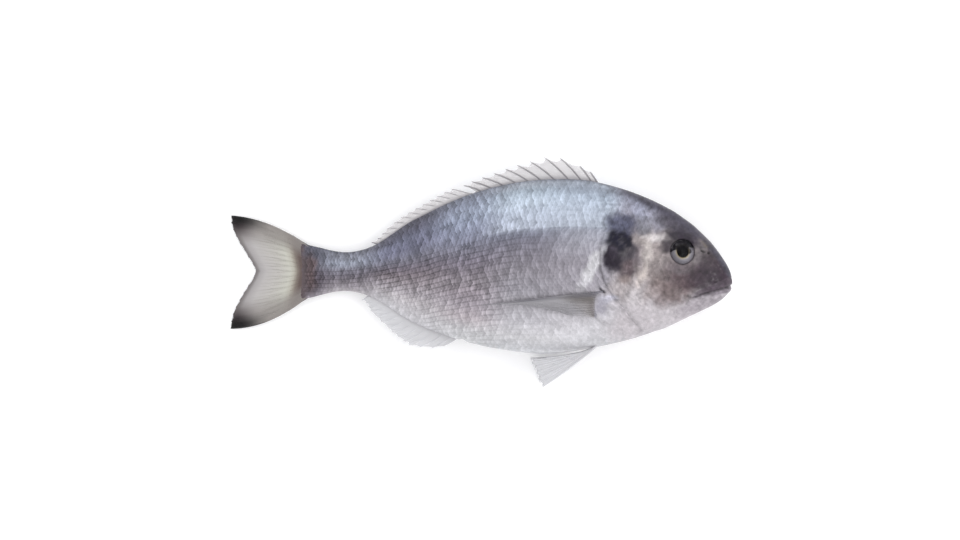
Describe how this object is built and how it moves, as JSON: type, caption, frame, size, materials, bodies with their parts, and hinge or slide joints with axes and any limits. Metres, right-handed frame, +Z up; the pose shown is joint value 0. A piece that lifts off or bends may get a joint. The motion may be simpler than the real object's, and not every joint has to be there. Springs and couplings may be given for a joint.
{
  "type": "whole raw fish",
  "caption": "Whole raw gilt-head sea bream, uncut and unscaled, lying on its left flank with its fins folded back.",
  "frame": {"origin": "middle of the footprint, on the surface that the fish lies on", "axes": "+X towards the snout, +Y towards the back, +Z up, out of the right flank; the left flank is on the surface"},
  "size_m": [0.3, 0.138, 0.0408],
  "materials": {
    "skin": "wet scaly skin, silver grey, blue-grey back, pale belly",
    "eye": "clear wet cornea over a silver iris and a black pupil",
    "fin": "thin damp skin over bony rays, pale grey",
    "tail": "thin damp skin over bony rays, cream with a dark rim and black tips"
  },
  "bodies": {
    "root": {"body": "skin", "eye_right": "eye", "eye_left": "eye", "dorsal_fin": "fin", "anal_fin": "fin", "tail_fin": "tail", "pectoral_fin_right": "fin", "pectoral_fin_left": "fin", "pelvic_fin_right": "fin", "pelvic_fin_left": "fin"}
  },
  "joints": []
}
